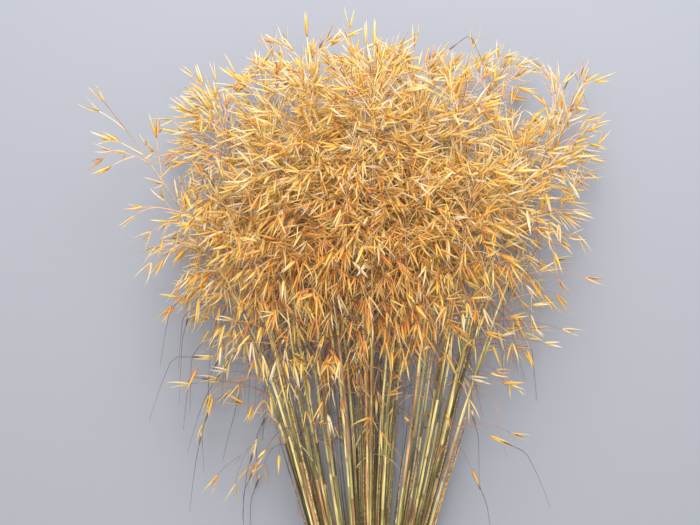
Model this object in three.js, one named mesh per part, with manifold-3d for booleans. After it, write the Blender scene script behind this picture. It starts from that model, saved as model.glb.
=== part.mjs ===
// A bundle of dried giant feather grass: cut flowering stems, tied near their cut ends with twine
// and laid down on a flat surface. Each stem is one grown piece: a straw, and at its top a loose
// panicle of wiry branches that end in spikelets, each a pair of long papery husks set in a V.
//
// Frame: millimetres, +Z up, +Y from the tie towards the heads. The origin is on the flat underside
// of the tie, which lies on the surface.
//
// The stems lie side by side in rings at the tie and open from there into a fan, so that they never
// cross. Branches are drawn by a seeded rule, again and again until they are clear of all the rest.

import * as THREE from "three";
import { mergeVertices } from "three/addons/utils/BufferGeometryUtils.js";
import Module from "manifold-3d";

const wasm = await Module();
wasm.setup();

// The bundle
const SEED = 293725;
const STEMS_IN_RING = [1, 6, 12, 18, 22]; // from the middle outwards
const STEM_PITCH = 4; // between rings at the tie
const BUTT_Y = [-92, -66]; // the cut ends
const TOP_Y = 936; // the tallest stem's tip
const SHORTER = 215; // a stem's tip is up to this far below that, though most are nearer
const DOME = 24; // and the outermost stems' tips this much more

// The fan
const TIE_END = 9; // the straws are straight within the tie
const FLARE = 40; // and bend apart over this length past it
const SIDE_SLOPE = 0.3; // of the outermost stems, sideways
const LIFT_SLOPE = 0.073; // the same, up and down
const CUSHION = 40; // how far the lowest straws are held up by the panicles' branches
const CUSHION_FROM = 430;
const CLUMP_WIDTH = 0.8; // straws lean together in three clumps, this share of the half width apart
const CLUMP_STRENGTH = 0.72;
const CLUMP_END = 700;
const LEAN = 16; // a stem's own stray from the fan at TOP_Y
const ARCH = 190; // the outermost heads arch outwards by up to this, though few by half as much
const ARCH_DROP = 0.45; // and hang lower for it, by this share
const ARCH_FROM = 430;

// A stem
const BUTT_RADIUS = 1.85;
const NECK_RADIUS = 1.5; // where the panicle begins
const RACHIS_RADIUS = 1.1; // below its last spikelet
const STRAW_LEVELS = [TIE_END, 70, 260]; // where a straw has rings, past its cut end
const RACHIS_STEPS = 3;
const PANICLE_LENGTH = [296, 352];

// A panicle
const BRANCHES = 5; // on each stem
const LAST_BRANCH = 0.93; // the highest, as a share of the panicle
const BRANCH_TURN = 2.4; // from one branch to the next above it, round the stem
const BRANCH_LENGTH = [104, 30]; // at the lowest branch and at the tip
const BRANCH_ANGLE = [1.02, 0.42]; // from the rachis
const BRANCH_DROOP = [1.0, 0.12]; // how far branches bend back, as they hung when they dried
const BRANCH_RADIUS = 0.5;
const FORK_RADIUS = 0.62;
const HUSK_LENGTH = [28, 36];
const HUSK_OPENING = [0.09, 0.3]; // half the V's angle
const HUSK_HALF_WIDTH = 2.0;
const HUSK_KEEL = 1.3;
const HUSK_INNER = 0.45;
const HUSK_BELLY = 0.34; // its widest place, as a share of its length

// The room between stems
const CLEAR = 0.3;
const FLOOR_GAP = 2.4; // from the surface to the axis of a branch
const FLOOR_SOFTNESS = 26; // branches below this height bend along the surface
const TRIES = 80;

// The tie
const TWINE_RADIUS = 1.6;
const TURNS = 5;
const TIE_SIDES = 16;
const TAIL_LENGTH = 44;
const SLIVER = 0.03; // corners that unions leave closer than this are joined

const RINGS = STEMS_IN_RING.length - 1;
const STRAW_RADIUS_AT_TIE = RINGS * STEM_PITCH; // to the axes of the outer ring
const TIE_INNER = (STRAW_RADIUS_AT_TIE + BUTT_RADIUS + CLEAR) / Math.cos(Math.PI / TIE_SIDES);
const TIE_OUTER = TIE_INNER + 2 * TWINE_RADIUS;
const TIE_FLAT = 0.3; // pressed flat by this much underneath
const TIE_HEIGHT = TIE_OUTER * Math.cos(Math.PI / TIE_SIDES) - TIE_FLAT; // of its middle
const LOWEST = TIE_HEIGHT - STRAW_RADIUS_AT_TIE;

const UP = new THREE.Vector3(0, 0, 1);
const ACROSS = new THREE.Vector3(1, 0, 0);
const ALONG = new THREE.Vector3(0, 1, 0);

// A repeatable number from 0 to 1 for each list of whole numbers.
function chance(...keys) {
  let h = SEED;
  for (const key of keys) {
    h = Math.imul(h ^ key, 0x85ebca6b);
    h ^= h >>> 13;
    h = Math.imul(h, 0xc2b2ae35);
    h ^= h >>> 16;
  }
  return (h >>> 0) / 2 ** 32;
}

const mix = (low, high, share) => low + (high - low) * share;
const draw = ([low, high], ...keys) => mix(low, high, chance(...keys));
const either = (size) => [-size, size];
const CIRCLE = [0, 2 * Math.PI];

function smooth(share) {
  const s = Math.min(Math.max(share, 0), 1);
  return s * s * (3 - 2 * s);
}

// The sum of a point and some steps, each a length along a direction.
const go = (from, ...steps) =>
  steps.reduce((to, [length, direction]) => to.addScaledVector(direction, length), from.clone());

const cross = (a, b) => new THREE.Vector3().crossVectors(a, b);
const towards = (from, to) => to.clone().sub(from).normalize();

// Two directions square to an axis, the first as near as can be to a given side.
function squareTo(axis, side) {
  const first = go(side, [-side.dot(axis), axis]).normalize();
  return [first, cross(axis, first)];
}

// The direction at an angle round an axis, from the first of two directions square to it.
const round = ([first, second], angle) =>
  go(new THREE.Vector3(), [Math.cos(angle), first], [Math.sin(angle), second]);

// Where the stems stand in the bundle, in rings: u is to the side and v is up, from -1 to 1.
function placesInBundle() {
  return STEMS_IN_RING.flatMap((count, ringNumber) =>
    Array.from({ length: count }, (_, m) => {
      const angle = (2 * Math.PI * (m + chance(0, ringNumber))) / count;
      const out = ringNumber / RINGS;
      return { u: out * Math.cos(angle), v: out * Math.sin(angle) };
    }),
  );
}

// Half the bundle's width or height at y, for a slope past the tie.
function halfSpread(y, slope) {
  return STRAW_RADIUS_AT_TIE + slope * (Math.hypot(Math.max(y - TIE_END, 0), FLARE) - FLARE);
}

// The side of a straw that leans towards the nearest clump. Straws keep their order, so none cross.
function clumped(u, y) {
  const share = Math.min(Math.max((y - TIE_END) / CLUMP_END, 0), 1);
  const strength = CLUMP_STRENGTH * Math.sin(Math.PI * share);
  return u - (strength * CLUMP_WIDTH * Math.sin((2 * Math.PI * u) / CLUMP_WIDTH)) / (2 * Math.PI);
}

// The axis of a stem at a distance y past the tie.
function axisAt(stem, y) {
  const stray = (Math.max(y - TIE_END, 0) / TOP_Y) ** 2;
  const arch = (Math.max(y - ARCH_FROM, 0) / (TOP_Y - ARCH_FROM)) ** 2;
  const lift = halfSpread(y, LIFT_SLOPE);
  return new THREE.Vector3(
    halfSpread(y, SIDE_SLOPE) * clumped(stem.u, y) + stem.lean * stray + stem.arch * arch,
    y,
    LOWEST + CUSHION * smooth((y - TIE_END) / CUSHION_FROM) + lift * (1 + stem.v) + stem.rise * stray,
  );
}

const headingAt = (stem, y) => towards(axisAt(stem, y - 4), axisAt(stem, y + 4));

function makeStem({ u, v }, number) {
  const stem = { number, u, v };
  stem.lean = draw(either(LEAN), 1, number);
  stem.rise = draw(either(LEAN / 2), 2, number);
  stem.arch = ARCH * u * Math.abs(u) * chance(3, number) ** 3;
  const shorter = SHORTER * chance(4, number) ** 1.6;
  stem.tip = TOP_Y - DOME * u * u - ARCH_DROP * Math.abs(stem.arch) - shorter;
  stem.neck = stem.tip - draw(PANICLE_LENGTH, 5, number);
  stem.butt = draw(BUTT_Y, 6, number);
  stem.turn = draw(CIRCLE, 7, number);
  stem.strawLevels = [stem.butt, ...STRAW_LEVELS];
  stem.rachisLevels = Array.from({ length: RACHIS_STEPS + 1 }, (_, k) =>
    mix(stem.neck, stem.tip, k / RACHIS_STEPS),
  );
  return stem;
}

// A place on the rachis as it is built, in straight lengths.
function onRachis(stem, share) {
  const along = share * RACHIS_STEPS;
  const k = Math.min(Math.floor(along), RACHIS_STEPS - 1);
  const [near, far] = [stem.rachisLevels[k], stem.rachisLevels[k + 1]];
  return axisAt(stem, near).lerp(axisAt(stem, far), along - k);
}

// A height over the surface. What would sink below it is bent along it.
function laidOn(z) {
  const h = z - FLOOR_GAP;
  return FLOOR_GAP + (h > FLOOR_SOFTNESS ? h : FLOOR_SOFTNESS * Math.exp(h / FLOOR_SOFTNESS - 1));
}

// A direction turned up just so far that its far end stays over the surface.
function laidAlong(from, direction, length) {
  const rise = (laidOn(from.z + direction.z * length) - from.z) / length;
  const level = Math.sqrt(Math.max(1 - rise * rise, 0)) / Math.hypot(direction.x, direction.y);
  return new THREE.Vector3(direction.x * level, direction.y * level, rise);
}

// The two husks at the end of a stalk, for a turn of the V round it.
function spikeletAt(end, heading, side, turn, ...keys) {
  const frame = squareTo(heading, side);
  const apart = round(frame, turn);
  const half = draw(HUSK_OPENING, ...keys, 2);
  const length = draw(HUSK_LENGTH, ...keys, 3);
  const husks = [1, -1].map((sign) => {
    const free = go(heading.clone().multiplyScalar(Math.cos(half)), [sign * Math.sin(half), apart]);
    const along = laidAlong(end, free, length);
    return { sign, length, along, tip: go(end, [length, along]) };
  });
  return { end, heading, side, turn, apart, husks };
}

// The turn at which a V lies level, as all do near the surface.
function levelTurn(heading, side) {
  const [first, second] = squareTo(heading, side);
  const level = cross(heading, UP);
  return Math.atan2(level.dot(second), level.dot(first));
}

// One branch of a panicle, drawn anew for each try: a bent stalk that ends in a spikelet.
function branchOf(stem, order, attempt) {
  const keys = [stem.number, order, attempt];
  const height = ((order + draw([0, 0.8], ...keys, 11)) / BRANCHES) * LAST_BRANCH;
  const start = onRachis(stem, height);
  const heading = headingAt(stem, mix(stem.neck, stem.tip, height));
  const turn = stem.turn + BRANCH_TURN * (order + attempt) + draw(either(0.5), ...keys, 12);
  const outward = round(squareTo(heading, ACROSS), turn);
  const angle = mix(...BRANCH_ANGLE, height) * draw([0.75, 1.25], ...keys, 13);
  const length = mix(...BRANCH_LENGTH, height) * draw([0.7, 1.2], ...keys, 14);
  const droop = mix(...BRANCH_DROOP, height) * draw([0.3, 1.2], ...keys, 15);
  const leaving = go(heading.multiplyScalar(Math.cos(angle)), [Math.sin(angle), outward]);
  const arriving = go(leaving, [-droop, ALONG]).normalize();
  const bend = go(start, [length / 2, leaving]);
  const end = go(bend, [length / 2, arriving]);
  const middle = start.clone().add(end).multiplyScalar(0.25).addScaledVector(bend, 0.5);
  middle.z = laidOn(middle.z);
  end.z = laidOn(end.z);
  const last = towards(middle, end);
  const side = cross(leaving, ALONG).normalize();
  const isLow = end.z < FLOOR_SOFTNESS + HUSK_HALF_WIDTH;
  const vTurn = isLow ? levelTurn(last, side) : draw(CIRCLE, ...keys, 1);
  return { start, middle, end, side, spikelet: spikeletAt(end, last, side, vTurn, ...keys) };
}

// The shortest distance between two capsules' axes, less their radii.
function gapBetween(p, q) {
  const u = p.b.clone().sub(p.a);
  const v = q.b.clone().sub(q.a);
  const w = p.a.clone().sub(q.a);
  const [uu, uv, vv, uw, vw] = [u.dot(u), u.dot(v), v.dot(v), u.dot(w), v.dot(w)];
  const within = (share) => Math.min(Math.max(share, 0), 1);
  const across = uu * vv - uv * uv;
  const first = across > 1e-9 ? within((uv * vw - vv * uw) / across) : 0;
  const t = within((uv * first + vw) / vv);
  const s = within((uv * t - uw) / uu);
  return go(w, [s, u], [-t, v]).length() - p.radius - q.radius;
}

// Pieces of one stem may meet where a branch leaves its rachis, and nowhere else.
const mayMeet = (p, q) => p.stem === q.stem && p.part === "root" && q.part !== "end";
const isClear = (capsules, taken) =>
  capsules.every((p) => taken.every((q) => mayMeet(p, q) || gapBetween(p, q) > CLEAR));

const capsulesOfSpikelet = ({ end, husks }, stem) =>
  husks.map(({ tip }) => ({ a: end, b: tip, radius: HUSK_HALF_WIDTH + 0.1, stem, part: "end" }));

const capsulesOfBranch = ({ start, middle, end, spikelet }, stem) => [
  { a: start, b: middle, radius: BRANCH_RADIUS, stem, part: "root" },
  { a: middle, b: end, radius: FORK_RADIUS, stem, part: "end" },
  ...capsulesOfSpikelet(spikelet, stem),
];

function capsulesOfStem(stem) {
  const points = [...stem.strawLevels, ...stem.rachisLevels].map((y) => axisAt(stem, y));
  const lengths = points.slice(1).map((b, k) => ({ a: points[k], b }));
  return lengths.map(({ a, b }) => ({ a, b, radius: BUTT_RADIUS, stem: stem.number, part: "root" }));
}

// The corners of a regular ring round an axis.
function ring(center, axis, side, radius, sides, turn) {
  const frame = squareTo(axis, side);
  return Array.from({ length: sides }, (_, k) =>
    go(center, [radius, round(frame, turn + (2 * Math.PI * k) / sides)]),
  );
}

// The faces from each corner of a row to the next, between two rows of as many corners.
const strip = (near, far) =>
  near.slice(1).flatMap((p, k) => [
    [near[k], p, far[k + 1]],
    [near[k], far[k + 1], far[k]],
  ]);

const closed = (corners) => [...corners, corners[0]];
const wall = (near, far) => strip(closed(near), closed(far));
const startCap = (corners) => corners.slice(2).map((p, k) => [corners[0], p, corners[k + 1]]);
const endCap = (corners) => startCap(corners).map(([p, q, r]) => [p, r, q]);
const spike = (corners, tip) => corners.map((p, k) => [p, closed(corners)[k + 1], tip]);
const doubled = (corners) => corners.flatMap((corner) => [corner, corner]);

// The faces of a stalk's last length, from a ring of three, and of the two husks that it forks into.
// Corner a of the fork is on one husk's side and c on the other's. Corners b and m part the husks.
function forkFaces({ end, heading, side, turn, apart, husks }, near) {
  const [a, b, c] = ring(end, heading, side, FORK_RADIUS, 3, turn - Math.PI / 6);
  const m = a.clone().lerp(c, 0.5);
  const [p, , r] = near;
  const stalk = [...strip(near, [a, b, c]), [r, p, m], [p, a, m], [r, m, c]];
  const blades = husks.flatMap(({ sign, length, along, tip }) => {
    const [outward, across] = squareTo(along, apart.clone().multiplyScalar(sign));
    const belly = go(end, [HUSK_BELLY * length, along]);
    const keel = go(belly, [HUSK_KEEL, outward]);
    const left = go(belly, [-HUSK_INNER, outward], [HUSK_HALF_WIDTH * sign, across]);
    const right = go(belly, [-HUSK_INNER, outward], [-HUSK_HALF_WIDTH * sign, across]);
    const foot = sign > 0 ? [a, b, m] : [b, c, m];
    const widest = sign > 0 ? [keel, left, right] : [left, keel, right];
    return [...wall(foot, widest), ...spike(widest, tip)];
  });
  return [...stalk, ...blades];
}

// Closed faces as a solid. Faces that have two corners in one place are left out.
function solidOf(faces) {
  const kept = faces.filter(([p, q, r]) => !p.equals(q) && !q.equals(r) && !r.equals(p));
  const joined = mergeVertices(new THREE.BufferGeometry().setFromPoints(kept.flat()), 1e-4);
  const { position } = joined.attributes;
  const triVerts = new Uint32Array(joined.index.array);
  const mesh = new wasm.Mesh({ numProp: 3, vertProperties: position.array, triVerts });
  return new wasm.Manifold(mesh);
}

// The straw has six sides up to the neck, and the rachis three up to its last spikelet.
function solidOfStraw(stem) {
  const ringAt = (y, radius, sides) =>
    ring(axisAt(stem, y), headingAt(stem, y), ACROSS, radius, sides, stem.turn);
  const straw = stem.strawLevels.map((y) =>
    ringAt(y, mix(BUTT_RADIUS, NECK_RADIUS, Math.max(y, 0) / stem.neck), 6),
  );
  const rachis = stem.rachisLevels.slice(0, -1).map((y, k) => {
    const share = k / (RACHIS_STEPS - 1);
    return ringAt(y, mix(NECK_RADIUS, RACHIS_RADIUS, share), 3);
  });
  const rings = [...straw, doubled(rachis[0])];
  const walls = rings.slice(1).flatMap((far, k) => wall(rings[k], far));
  walls.push(...rachis.slice(1).flatMap((far, k) => wall(rachis[k], far)));
  return solidOf([...startCap(straw[0]), ...walls, ...forkFaces(stem.top, rachis.at(-1))]);
}

function solidOfBranch({ start, middle, side, spikelet }) {
  const leaving = towards(start, middle);
  const passing = leaving.clone().add(spikelet.heading).normalize();
  const turn = spikelet.turn - Math.PI / 6;
  const root = ring(start, leaving, side, BRANCH_RADIUS, 3, turn);
  const bend = ring(middle, passing, side, BRANCH_RADIUS, 3, turn);
  return solidOf([...startCap(root), ...wall(root, bend), ...forkFaces(spikelet, bend)]);
}

// Five turns of twine round the straws, as a ring with five rounds, pressed flat underneath.
function solidOfTurns() {
  const first = (-TURNS * TWINE_RADIUS) + TWINE_RADIUS;
  const valley = TIE_OUTER - 0.55 * TWINE_RADIUS;
  const outside = Array.from({ length: TURNS }, (_, k) => first + 2 * TWINE_RADIUS * k).flatMap((y) => [
    [TIE_OUTER, y - 0.5 * TWINE_RADIUS],
    [TIE_OUTER, y + 0.5 * TWINE_RADIUS],
    [valley, y + TWINE_RADIUS],
  ]);
  const inside = [
    [TIE_INNER, TURNS * TWINE_RADIUS],
    [TIE_INNER, -TURNS * TWINE_RADIUS],
    [valley, -TURNS * TWINE_RADIUS],
  ];
  const profile = [...outside, ...inside];
  const rings = Array.from({ length: TIE_SIDES }, (_, k) => {
    const angle = (2 * Math.PI * (k + 0.5)) / TIE_SIDES;
    return profile.map(
      ([out, y]) => new THREE.Vector3(out * Math.sin(angle), y, TIE_HEIGHT - out * Math.cos(angle)),
    );
  });
  const faces = closed(rings).slice(1).flatMap((far, k) => wall(rings[k], far));
  return solidOf(faces).trimByPlane([0, 0, 1], 0);
}

// A length of twine along a curve, with closed ends.
function solidOfTwine(points, steps, sides) {
  const curve = new THREE.CatmullRomCurve3(points);
  const { normals } = curve.computeFrenetFrames(steps);
  const rings = normals.map((side, k) =>
    ring(curve.getPointAt(k / steps), curve.getTangentAt(k / steps), side, TWINE_RADIUS, sides, 0),
  );
  const walls = rings.slice(1).flatMap((far, k) => wall(rings[k], far));
  return solidOf([...startCap(rings[0]), ...walls, ...endCap(rings.at(-1))]);
}

// The knot on top of the turns: each end passes under the other, and lies over the straws' cut ends.
function solidsOfKnot() {
  const top = TIE_HEIGHT + TIE_OUTER;
  return [1, -1].map((sign) =>
    solidOfTwine(
      [
        [-7 * sign, 4 * sign, -2.5],
        [-4 * sign, 2.5 * sign, -0.3],
        [0, 0.8 * sign, 2.6],
        [4.2 * sign, -1 * sign, 1.4],
        [4.4 * sign, -5, 0.6],
        [5 * sign, -14, 2.2],
        [(7 + 2 * sign) * sign, -0.6 * TAIL_LENGTH, 2.6],
        [(10 + 3 * sign) * sign, -TAIL_LENGTH, 1.6 - 0.8 * sign],
      ].map(([x, y, z]) => new THREE.Vector3(x, y, top + z)),
      12,
      6,
    ),
  );
}

function meshOf(name, solids, material) {
  const { vertProperties, triVerts } = wasm.Manifold.union(solids).asOriginal().simplify(SLIVER).getMesh();
  const geometry = new THREE.BufferGeometry()
    .setAttribute("position", new THREE.BufferAttribute(vertProperties, 3))
    .setIndex(new THREE.BufferAttribute(triVerts, 1));
  geometry.computeVertexNormals();
  const mesh = new THREE.Mesh(geometry, material);
  mesh.name = name;
  return mesh;
}

const stems = placesInBundle().map(makeStem);
const taken = stems.flatMap(capsulesOfStem);

for (const stem of stems) {
  const heading = headingAt(stem, stem.tip);
  const turn = stem.turn + Math.PI / 6;
  const end = axisAt(stem, stem.tip);
  stem.top = spikeletAt(end, heading, ACROSS, turn, 8, stem.number);
  taken.push(...capsulesOfSpikelet(stem.top, stem.number));
  stem.branches = [];
}

for (let order = 0; order < BRANCHES; order++) {
  for (const stem of stems) {
    for (let attempt = 0; attempt < TRIES; attempt++) {
      const branch = branchOf(stem, order, attempt);
      const capsules = capsulesOfBranch(branch, stem.number);
      if (isClear(capsules, taken)) {
        taken.push(...capsules);
        stem.branches.push(branch);
        break;
      }
    }
  }
}

const straw = new THREE.MeshStandardMaterial({ color: 0xb9a24e, roughness: 0.7 });
const twine = new THREE.MeshStandardMaterial({ color: 0x9c7f52, roughness: 0.95 });

const bundle = new THREE.Group();
for (const stem of stems) {
  const solids = [solidOfStraw(stem), ...stem.branches.map(solidOfBranch)];
  bundle.add(meshOf(`grass_stem_${String(stem.number + 1).padStart(2, "0")}`, solids, straw));
}
bundle.add(meshOf("twine_tie", [solidOfTurns(), ...solidsOfKnot()], twine));

export default bundle;
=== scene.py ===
import bpy
import numpy as np
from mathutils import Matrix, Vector


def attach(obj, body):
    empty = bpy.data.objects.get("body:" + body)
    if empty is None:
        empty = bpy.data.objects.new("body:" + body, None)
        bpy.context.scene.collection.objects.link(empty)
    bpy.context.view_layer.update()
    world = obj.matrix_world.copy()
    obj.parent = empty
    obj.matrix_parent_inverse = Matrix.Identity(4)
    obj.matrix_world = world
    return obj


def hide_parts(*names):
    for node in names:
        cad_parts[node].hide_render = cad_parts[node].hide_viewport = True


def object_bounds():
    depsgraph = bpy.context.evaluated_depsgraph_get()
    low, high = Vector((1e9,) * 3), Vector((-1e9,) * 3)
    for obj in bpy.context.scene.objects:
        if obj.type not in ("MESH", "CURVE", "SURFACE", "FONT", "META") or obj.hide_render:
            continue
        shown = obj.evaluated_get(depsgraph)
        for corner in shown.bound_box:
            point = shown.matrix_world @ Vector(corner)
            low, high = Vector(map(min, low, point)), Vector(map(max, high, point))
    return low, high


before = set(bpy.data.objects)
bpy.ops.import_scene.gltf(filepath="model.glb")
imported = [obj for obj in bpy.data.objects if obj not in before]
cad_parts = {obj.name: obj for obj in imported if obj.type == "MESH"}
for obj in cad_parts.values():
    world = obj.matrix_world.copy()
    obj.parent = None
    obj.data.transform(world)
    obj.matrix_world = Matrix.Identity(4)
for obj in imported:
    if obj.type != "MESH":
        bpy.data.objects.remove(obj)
solids_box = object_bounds()

# The straws. Each is the cut, air-dried flowering stem of a tall feather grass: a thin hard tube with
# a joint here and there, and a papery leaf sheath wrapped round it above each joint. They lie side by
# side in rings at the tie and open from there into a fan, in three loose clumps.
MM = 0.001
SEED = 293725
STEMS_IN_RING = (1, 6, 12, 18, 22)
RINGS = len(STEMS_IN_RING) - 1
STEM_PITCH = 4
BUTT_Y = (-92, -66)
TOP_Y = 936
SHORTER = 215
FEW_SHORT = 1.6
DOME = 24
TIE_END = 9
CLEAR = 0.3
FLARE = 40
SIDE_SLOPE = 0.3
LIFT_SLOPE = 0.073
CUSHION = 40
CUSHION_FROM = 430
CLUMP_WIDTH = 0.8
CLUMP_STRENGTH = 0.72
CLUMP_END = 700
LEAN = 16
ARCH = 190
ARCH_DROP = 0.45
ARCH_FROM = 430
FEW_ARCHED = 3
LOOK_AHEAD = 4
BUTT_RADIUS = 1.85
NECK_RADIUS = 1.45
PANICLE_LENGTH = (296, 352)
CIRCLE = (0, 2 * np.pi)
ACROSS = np.array([1.0, 0.0, 0.0])
ALONG = np.array([0.0, 1.0, 0.0])
UP = np.array([0.0, 0.0, 1.0])


def chance(*keys):
    """A repeatable number from 0 to 1 for each list of whole numbers, whose bits are mixed in turn.
    The whole number that a call adds to its list only tells that draw from the others."""
    bits = np.full(np.broadcast_shapes(*(np.shape(key) for key in keys)), SEED, dtype=np.uint32)
    with np.errstate(over="ignore"):
        for key in keys:
            bits = (bits ^ np.asarray(key, dtype=np.uint32)) * np.uint32(0x85EBCA6B)
            bits = (bits ^ (bits >> np.uint32(13))) * np.uint32(0xC2B2AE35)
            bits = bits ^ (bits >> np.uint32(16))
    return bits / 2.0**32


def mix(low, high, share):
    """Goes evenly from low to high as the share goes from 0 to 1."""
    return low + (high - low) * share


def draw(span, *keys):
    """A chance spread evenly over a span from low to high."""
    return mix(span[0], span[1], chance(*keys))


def smooth(share):
    """Rises from 0 to 1 as 3 s squared less 2 s cubed."""
    s = np.clip(share, 0, 1)
    return s * s * (3 - 2 * s)


def share_of(span, value):
    """How far a value has come from one end of a span to the other, evenly from 0 to 1 and beyond."""
    return (value - span[0]) / (span[1] - span[0])


def unit(vectors):
    """Vectors divided by their own lengths."""
    return vectors / np.linalg.norm(vectors, axis=-1, keepdims=True)


def dot(a, b):
    """The sum of the products of two vectors' coordinates."""
    return np.sum(a * b, axis=-1, keepdims=True)


def square_to(axis, side):
    """Two directions square to an axis, the first as near as can be to a given side."""
    first = unit(side - dot(side, axis) * axis)
    return first, np.cross(axis, first)


def turned(pair, angle):
    """The direction at an angle round an axis, from the first of two directions square to it."""
    angle = np.asarray(angle)[..., None]
    return np.cos(angle) * pair[0] + np.sin(angle) * pair[1]


# The stems' places in the bundle and their own strays from the fan.
ring_of = np.repeat(np.arange(RINGS + 1), STEMS_IN_RING)
place_in_ring = np.concatenate([np.arange(count) for count in STEMS_IN_RING])
ring_angle = 2 * np.pi * (place_in_ring + chance(0, ring_of)) / np.repeat(STEMS_IN_RING, STEMS_IN_RING)
stem_u = ring_of / RINGS * np.cos(ring_angle)
stem_v = ring_of / RINGS * np.sin(ring_angle)
stems = np.arange(len(ring_of))
lean = draw((-LEAN, LEAN), 1, stems)
rise = draw((-LEAN / 2, LEAN / 2), 2, stems)
arch = ARCH * stem_u * np.abs(stem_u) * chance(3, stems) ** FEW_ARCHED
tip_y = TOP_Y - DOME * stem_u**2 - ARCH_DROP * np.abs(arch) - SHORTER * chance(4, stems) ** FEW_SHORT
neck_y = tip_y - draw(PANICLE_LENGTH, 5, stems)
butt_y = draw(BUTT_Y, 6, stems)
stem_turn = draw(CIRCLE, 7, stems)

STRAW_RADIUS_AT_TIE = RINGS * STEM_PITCH
TIE_SIDES = 16
TIE_FLAT = 0.3
TWINE_RADIUS = 1.6
TIE_INNER = (STRAW_RADIUS_AT_TIE + BUTT_RADIUS + CLEAR) / np.cos(np.pi / TIE_SIDES)
TIE_OUTER = TIE_INNER + 2 * TWINE_RADIUS
TIE_HEIGHT = TIE_OUTER * np.cos(np.pi / TIE_SIDES) - TIE_FLAT
LOWEST = TIE_HEIGHT - STRAW_RADIUS_AT_TIE


def half_spread(y, slope):
    """Half the bundle's width or height: level through the tie, then a hyperbola to a slope."""
    return STRAW_RADIUS_AT_TIE + slope * (np.hypot(np.maximum(y - TIE_END, 0), FLARE) - FLARE)


def axis_at(who, y):
    """The middle of a stem at y: its place in the fan, pulled to the nearest clump by a sine, with
    its own lean and an outward arch that grow as squares of the distance."""
    share = np.clip((y - TIE_END) / CLUMP_END, 0, 1)
    pull = CLUMP_STRENGTH * np.sin(np.pi * share) * CLUMP_WIDTH / (2 * np.pi)
    u = stem_u[who] - pull * np.sin(2 * np.pi * stem_u[who] / CLUMP_WIDTH)
    stray = (np.maximum(y - TIE_END, 0) / TOP_Y) ** 2
    bow = (np.maximum(y - ARCH_FROM, 0) / (TOP_Y - ARCH_FROM)) ** 2
    x = half_spread(y, SIDE_SLOPE) * u + lean[who] * stray + arch[who] * bow
    held_up = LOWEST + CUSHION * smooth((y - TIE_END) / CUSHION_FROM)
    z = held_up + half_spread(y, LIFT_SLOPE) * (1 + stem_v[who]) + rise[who] * stray
    return np.stack(np.broadcast_arrays(x, y, z), axis=-1)


def heading_at(who, y):
    """The way that a stem runs at y: the step from a little before to a little after it."""
    return unit(axis_at(who, y + LOOK_AHEAD) - axis_at(who, y - LOOK_AHEAD))


def tube_points(path, radius, frames, sides):
    """Rings round paths: for each point of a path, as many points as sides at its radius, turning
    left round the way ahead. The result's axes are paths, rings, sides and coordinates."""
    angle = 2 * np.pi * np.arange(sides) / sides
    first, second = (direction[..., None, :] for direction in frames)
    round_it = np.cos(angle)[:, None] * first + np.sin(angle)[:, None] * second
    return path[..., None, :] + radius[..., None, None] * round_it


def tube_faces(paths, rings, sides):
    """Four-cornered walls between neighbouring rings, and one flat cap at each end of each path."""
    corner = np.arange(paths * rings * sides).reshape(paths, rings, sides)
    near, far = corner[:, :-1], corner[:, 1:]
    ahead = [near, np.roll(near, -1, axis=2), np.roll(far, -1, axis=2), far]
    walls = np.stack(ahead, axis=-1).reshape(-1, 4)
    caps = np.concatenate([corner[:, 0, ::-1], corner[:, -1]])
    return [walls, caps]


class Growth:
    """The meshes of one stem or tie, gathered in order and made one object at the end. With each
    point go its tint, which picks its colour and on the husks also holds painted shade, its mark,
    which darkens a straw or flushes a husk rust-orange, the flush partly painted shade, and its
    place in the patterns."""

    def __init__(self, name):
        self.name = name
        self.points, self.faces, self.finish = [], [], []
        self.tint, self.mark, self.place = [], [], []
        self.materials = []
        self.count = 0

    def add(self, points, material, tint, place, mark=0.0):
        """Adds tubes given as paths, rings, sides and coordinates. Tint and mark are spread over the
        first three of these, and place over all four."""
        paths, rings, sides, _ = points.shape
        if material not in self.materials:
            self.materials.append(material)
        for faces in tube_faces(paths, rings, sides):
            self.faces.append(faces + self.count)
            self.finish.append(np.full(len(faces), self.materials.index(material)))
        shape = (paths, rings, sides)
        self.points.append(points.reshape(-1, 3))
        self.tint.append(np.broadcast_to(tint, shape).ravel())
        self.mark.append(np.broadcast_to(mark, shape).ravel())
        self.place.append(np.broadcast_to(place, (*shape, 3)).reshape(-1, 3))
        self.count += paths * rings * sides

    def make(self):
        """One object with all that was added. Its walls are smooth and its caps flat."""
        mesh = bpy.data.meshes.new(self.name)
        corners = np.concatenate([faces.ravel() for faces in self.faces])
        widths = np.concatenate([np.full(len(faces), faces.shape[1]) for faces in self.faces])
        is_cap = np.concatenate([np.full(len(faces), k % 2) for k, faces in enumerate(self.faces)])
        mesh.vertices.add(self.count)
        mesh.vertices.foreach_set("co", (np.concatenate(self.points) * MM).ravel())
        mesh.loops.add(len(corners))
        mesh.loops.foreach_set("vertex_index", corners.astype(np.int32))
        mesh.polygons.add(len(widths))
        starts = np.concatenate([[0], np.cumsum(widths)[:-1]])
        mesh.polygons.foreach_set("loop_start", starts.astype(np.int32))
        mesh.polygons.foreach_set("material_index", np.concatenate(self.finish).astype(np.int32))
        mesh.polygons.foreach_set("use_smooth", is_cap == 0)
        for name, kind, values in (
            ("tint", "FLOAT", self.tint),
            ("mark", "FLOAT", self.mark),
            ("place", "FLOAT_VECTOR", self.place),
        ):
            layer = mesh.attributes.new(name, kind, "POINT")
            field = "vector" if kind == "FLOAT_VECTOR" else "value"
            layer.data.foreach_set(field, np.concatenate(values).astype(np.float32).ravel())
        for material in self.materials:
            mesh.materials.append(material)
        mesh.update()
        mesh.validate()
        made = bpy.data.objects.new(self.name, mesh)
        bpy.context.scene.collection.objects.link(made)
        return made


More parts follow.
